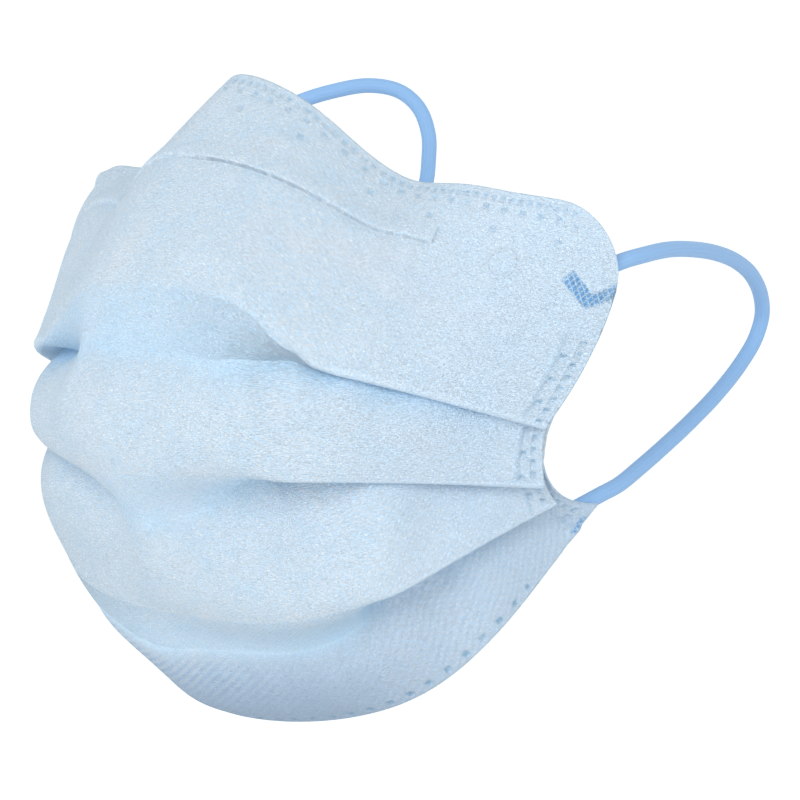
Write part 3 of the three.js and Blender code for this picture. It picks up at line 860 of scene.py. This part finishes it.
class Material:
    """A procedural material around one principled shader. Its base colour is built up in tints."""

    def __init__(self, name, **constants):
        self.material = bpy.data.materials.new(name)
        self.material.use_nodes = True
        self.tree = self.material.node_tree
        self.shader = self.tree.nodes["Principled BSDF"]
        for key, value in constants.items():
            self.shader.inputs[key.replace("_", " ").title()].default_value = value

    def node(self, kind, inputs, output=0, **settings):
        """Adds a node and returns one of its outputs. An input is a socket or a value."""
        node = self.tree.nodes.new(kind)
        for key, value in settings.items():
            setattr(node, key, value)
        for key, value in inputs.items():
            self.link(value, node.inputs[key])
        return node.outputs[output]

    def link(self, value, socket):
        if isinstance(value, bpy.types.NodeSocket):
            self.tree.links.new(value, socket)
        else:
            socket.default_value = value

    def flat(self):
        """Place on the flat cloth, in metres."""
        return self.node("ShaderNodeUVMap", {}, uv_map="flat")

    def axis(self, name):
        return self.node("ShaderNodeSeparateXYZ", {"Vector": self.flat()}, output=name)

    def mask(self, name):
        return self.node("ShaderNodeAttribute", {}, output="Fac", attribute_name=name)

    def mapped(self, turn, scale):
        """Flat places turned by so many degrees and scaled."""
        inputs = {"Vector": self.flat(), "Rotation": (0, 0, math.radians(turn)), "Scale": (*scale, 1)}
        return self.node("ShaderNodeMapping", inputs)

    def math(self, operation, a, b=0.0):
        return self.node("ShaderNodeMath", {0: a, 1: b}, operation=operation)

    def times(self, product, *factors):
        for factor in factors:
            product = self.math("MULTIPLY", product, factor)
        return product

    def apart(self, a, b):
        return self.math("ABSOLUTE", self.math("SUBTRACT", a, b))

    def ramp(self, value, low, high, to_low=0.0, to_high=1.0):
        inputs = {"Value": value, "From Min": low, "From Max": high, "To Min": to_low, "To Max": to_high}
        return self.node("ShaderNodeMapRange", inputs, interpolation_type="SMOOTHSTEP")

    def mix(self, factor, a, b):
        return self.node("ShaderNodeMixRGB", {"Fac": factor, "Color1": a, "Color2": b})

    def tint(self, factor, colour):
        """Lays a colour over the base colour, as much as the factor says."""
        below = self.shader.inputs["Base Color"].links[0].from_socket
        self.set("Base Color", self.mix(factor, below, colour))

    def set(self, name, value):
        self.link(value, self.shader.inputs[name])

    def noise(self, vector, scale, detail):
        inputs = {"Vector": vector, "Scale": scale, "Detail": detail, "Roughness": 0.6}
        return self.node("ShaderNodeTexNoise", inputs, noise_dimensions="2D")

    def bump(self, height, distance, strength=1.0):
        normal = self.node("ShaderNodeBump", {"Height": height, "Distance": distance, "Strength": strength})
        self.set("Normal", normal)

    def fibres(self):
        """Filaments of the nonwoven web in four directions, from 0 to 1."""
        strands = None
        for turn in (12, 58, 101, -34):
            strand = self.noise(self.mapped(turn, (900, 5200)), 1.0, 1.0)
            strands = strand if strands is None else self.math("MAXIMUM", strands, strand)
        return self.ramp(strands, 0.5, 0.82)

    def cells(self, vector, randomness, metric="EUCLIDEAN"):
        inputs = {"Vector": vector, "Scale": 1.0, "Randomness": randomness}
        return self.node("ShaderNodeTexVoronoi", inputs, output="Distance", voronoi_dimensions="2D",
                         feature="F1", distance=metric)

    def bonds(self, pitch):
        """Round bond points in a staggered lattice, 1 inside."""
        return self.ramp(self.cells(self.mapped(45, (1 / pitch, 1 / pitch)), 0.16), 0.30, 0.15)

    def diamonds(self, width, height):
        """Knurled diamonds, 1 inside and 0 in the grooves."""
        scale = (math.sqrt(2) / width, math.sqrt(2) / height)
        return self.ramp(self.cells(self.mapped(45, scale), 0.0, "CHEBYCHEV"), 0.46, 0.30)

    def painted_wire_crease_shadow(self):
        """Painted shadow: a thin line along the lower border and the ends of the nose wire."""
        x, y = self.axis("X"), self.axis("Y")
        from_middle = self.math("DIVIDE", self.math("ABSOLUTE", x), WIRE.reach * HALF_WIDTH)
        half_rise = (WIRE.middle_drop - WIRE.end_drop) / 2
        rise = self.math("COSINE", self.times(self.math("MINIMUM", from_middle, 1.0), math.pi))
        lower_border = WIRE.end_drop + half_rise + WIRE.width / 2 + 0.0002
        below = self.math("SUBTRACT", y, self.math("ADD", self.times(rise, half_rise), lower_border))
        line = self.times(
            self.ramp(self.math("ABSOLUTE", below), 0.00036, 0.00008), self.ramp(from_middle, 1.0, 0.99),
            self.ramp(from_middle, 0.15, 0.75, 0.85, 0.5), self.ramp(x, -0.004, 0.008, 0.25, 1.0),
        )
        end = self.ramp(self.apart(from_middle, 1.0), 0.007, 0.002, 0.0, 0.45)
        end = self.times(end, self.ramp(self.apart(below, -WIRE.width / 2), 0.0022, 0.0019))
        return self.math("MAXIMUM", line, end)


def rgba(red, green, blue):
    """Linear colour from 8-bit display values."""
    def linear(value):
        value /= 255
        return value / 12.92 if value <= 0.04045 else ((value + 0.055) / 1.055) ** 2.4
    return (linear(red), linear(green), linear(blue), 1.0)


def blue_cloth():
    """Outer face: plain cloth, then painted shade at folds, chin, welds and wire crease, and a painted glow.
    """
    m = Material("blue_spunbond", roughness=0.8, sheen_weight=0.12, sheen_roughness=0.5)
    fibres, bonds = m.fibres(), m.bonds(0.00105)
    clouds = m.noise(m.flat(), 150.0, 4.0)
    drift = m.noise(m.flat(), 60.0, 2.0)
    patchy = m.noise(m.flat(), 420.0, 1.0)
    m.set("Base Color", m.mix(fibres, rgba(196, 218, 237), rgba(242, 246, 250)))
    m.tint(m.ramp(clouds, 0.42, 0.72, 0.0, 0.45), rgba(198, 222, 242))
    m.tint(m.ramp(drift, 0.5, 0.75, 0.0, 0.4), rgba(226, 230, 238))
    # Painted light: the cloth is painted lighter and bluer towards its left side edge
    across = m.axis("X")
    m.tint(m.ramp(across, 0.03, 0.075, 0.0, 0.55), rgba(212, 233, 253))
    # Bond points are the cloth's own dots; their whiteness grows towards the left half as a painted glint
    spread = m.math("ADD", m.ramp(across, 0.01, 0.06, 0.1, 0.42), m.ramp(drift, 0.4, 0.65, 0.12, -0.08))
    m.tint(m.times(bonds, spread), rgba(244, 248, 252))
    # Painted shade in the folds, below the pleats' edges and in the groove beside the side band
    m.tint(m.times(m.mask("fold"), 0.65), rgba(142, 196, 234))
    ribs = m.node("ShaderNodeTexWave", {"Vector": m.mapped(33, (1, 1)), "Scale": 205.0, "Distortion": 0.8},
                  output="Fac", bands_direction="Y")
    m.tint(m.times(m.mask("ribs"), m.ramp(ribs, 0.0, 1.0, 0.0, 0.75)), rgba(162, 192, 226))
    # Painted shade on the chin, darkest near the lower edge
    m.tint(m.times(m.mask("painted_chin_shade"), 0.85), rgba(163, 184, 209))
    m.tint(m.times(m.mask("pressed"), 0.3), rgba(194, 218, 238))
    # Painted shadow along the upper border of each weld spot, and painted shade over the lower edge's spots
    strength = m.times(m.ramp(patchy, 0.35, 0.6, 0.3, 0.75), m.ramp(m.axis("Y"), 0.012, 0.020, 0.6, 1.0))
    m.tint(m.times(m.mask("border"), strength), rgba(128, 176, 208))
    # Painted shadow along the lower border and the ends of the nose wire
    m.tint(m.times(m.painted_wire_crease_shadow(), m.ramp(patchy, 0.3, 0.6, 0.6, 1.0)), rgba(140, 156, 172))
    knurl_colour = m.mix(m.diamonds(0.0012, 0.0017), rgba(192, 217, 240), rgba(118, 174, 226))
    marked = m.times(m.mask("elastic"), m.ramp(patchy, 0.25, 0.55, 0.6, 1.0))
    m.tint(marked, knurl_colour)
    # Painted glow: a faint blue emission in the folds and through open flaps, in place of light through the
    # cloth
    m.set("Emission Color", (0.42, 0.72, 1.0, 1.0))
    painted_fold_glow = m.ramp(m.mask("fold"), 0.0, 0.8, 0.0, 0.06)
    painted_flap_glow = m.ramp(m.mask("painted_glow"), 0.0, 1.0, 0.0, 0.15)
    m.set("Emission Strength", m.math("ADD", painted_fold_glow, painted_flap_glow))
    gloss = m.math("MAXIMUM", bonds, m.mask("pressed"))
    m.set("Roughness", m.ramp(gloss, 0.0, 1.0, 0.82, 0.45))
    relief = m.math("SUBTRACT", m.times(fibres, 0.9), m.times(bonds, 0.5))
    pair = {0: m.flat(), 1: (*RING.centre, 0.0)}
    away = m.node("ShaderNodeVectorMath", pair, output="Value", operation="DISTANCE")
    ring = m.ramp(m.apart(away, RING.radius), 0.0006, 0.0001)
    m.bump(m.math("ADD", relief, m.times(ring, 1.5)), 0.00018, 0.9)
    return m.material


def white_cloth():
    """Inner face and the hem of the nose wire."""
    m = Material("white_spunbond", roughness=0.85, sheen_weight=0.15, sheen_roughness=0.5)
    fibres, bonds = m.fibres(), m.bonds(0.0012)
    m.set("Base Color", m.mix(fibres, rgba(222, 231, 240), rgba(240, 244, 248)))
    m.tint(m.times(bonds, 0.6), rgba(250, 252, 253))
    m.set("Roughness", m.ramp(bonds, 0.0, 1.0, 0.85, 0.5))
    m.bump(m.math("SUBTRACT", m.times(fibres, 0.5), m.times(bonds, 0.8)), 0.00015, 0.7)
    return m.material


def elastic_material(name, mask, low, high, grain, over, full, rough, **constants):
    """Two colours by a mask, and a third over them where the grain of yarn or melted film is full."""
    m = Material(name, **constants)
    fine = m.noise(m.mapped(0, grain), 1.0, 2.0)
    m.set("Base Color", m.mix(m.mask(mask), rgba(*low), rgba(*high)))
    m.tint(m.ramp(fine, 0.4, full, 0.0, 0.3), rgba(*over))
    m.set("Roughness", m.ramp(fine, 0.3, 0.7, *rough))
    m.bump(fine, 0.00006, 0.5)
    return m.material


def studio_floor():
    """Pale floor that glows softly away from the object, like a lit backdrop."""
    m = Material("pale_floor", roughness=0.9)
    place = m.node("ShaderNodeTexCoord", {}, output="Object")
    tone = m.node("ShaderNodeTexNoise", {"Vector": place, "Scale": 3.0, "Detail": 2.0})
    m.set("Base Color", m.mix(tone, rgba(236, 236, 236), rgba(242, 242, 242)))
    away = m.node("ShaderNodeVectorMath", {0: place}, output="Value", operation="LENGTH")
    m.set("Emission Color", (1.0, 1.0, 1.0, 1.0))
    m.set("Emission Strength", m.ramp(away, 0.45, 0.8, 0.0, 0.45))
    return m.material


# Stage, lights and camera, in metres, millimetres of lens and watts
LENS, SENSOR = 180, 36
CAMERA_PLACE = (0.5326, -0.5544, 0.0468)
CAMERA_TARGET = (0.03765, 0.01488, -0.0458)
LIGHT_TARGET = (0, 0.02, -0.05)
LIGHTS = {
    "key": dict(location=(0.40, -0.98, 0.42), size=0.5, power=5.0),
    "fill": dict(location=(0.95, -0.35, 0.30), size=0.6, power=1.0),
    "side": dict(location=(-0.90, -0.50, 0.20), size=0.6, power=0.5),
}
FLOOR_RADIUS = 40
FLOOR_HEIGHT = -0.30


def aim(item, location, target):
    item.location = location
    item.rotation_euler = (Vector(target) - item.location).to_track_quat("-Z", "Y").to_euler()


def add_camera():
    """A long lens at the photograph's angle."""
    data = bpy.data.cameras.new("camera")
    data.lens, data.sensor_width = LENS, SENSOR
    camera = add_object("camera", data)
    aim(camera, CAMERA_PLACE, CAMERA_TARGET)
    bpy.context.scene.camera = camera


def area_light(name, location, size, power):
    data = bpy.data.lights.new(name, "AREA")
    data.size, data.energy = size, power
    aim(add_object(name, data), location, LIGHT_TARGET)


def add_stage():
    """Floor, backdrop and three soft lights."""
    bpy.ops.mesh.primitive_circle_add(vertices=96, radius=FLOOR_RADIUS, fill_type="NGON",
                                      location=(0, 0, FLOOR_HEIGHT))
    floor = bpy.context.object
    floor.name = "floor"
    floor.data.materials.append(studio_floor())
    world = bpy.data.worlds.new("studio")
    world.use_nodes = True
    background = world.node_tree.nodes["Background"]
    background.inputs["Color"].default_value = (0.88, 0.96, 1.0, 1.0)
    background.inputs["Strength"].default_value = 0.75
    bpy.context.scene.world = world
    bpy.context.scene.view_settings.view_transform = "Standard"
    for name, light in LIGHTS.items():
        area_light(name, **light)


add_camera()
elastic = elastic_material(
    "blue_elastic", "rib", low=(142, 182, 226), high=(148, 187, 230), grain=(2600, 900),
    over=(154, 192, 233), full=0.75, rough=(0.7, 0.85),
    roughness=0.75, sheen_weight=0.25, sheen_roughness=0.4)
for side_name in ROUTES:
    ear_loop(side_name, elastic)

cloth = blue_cloth()
outer = outer_cloth(cloth)
edges = welded_edges(cloth)
inner = inner_cloth(white_cloth())
hem = nose_wire_hem(inner.data.materials[0])
ends = elastic_material(
    "welded_elastic", "knurl", low=(104, 152, 214), high=(148, 188, 234), grain=(1500, 1500),
    over=(172, 204, 240), full=0.7, rough=(0.35, 0.6), roughness=0.5)
for side_name in ROUTES:
    for weld_name in WELDS:
        loop_end(side_name, weld_name, ends)

add_stage()
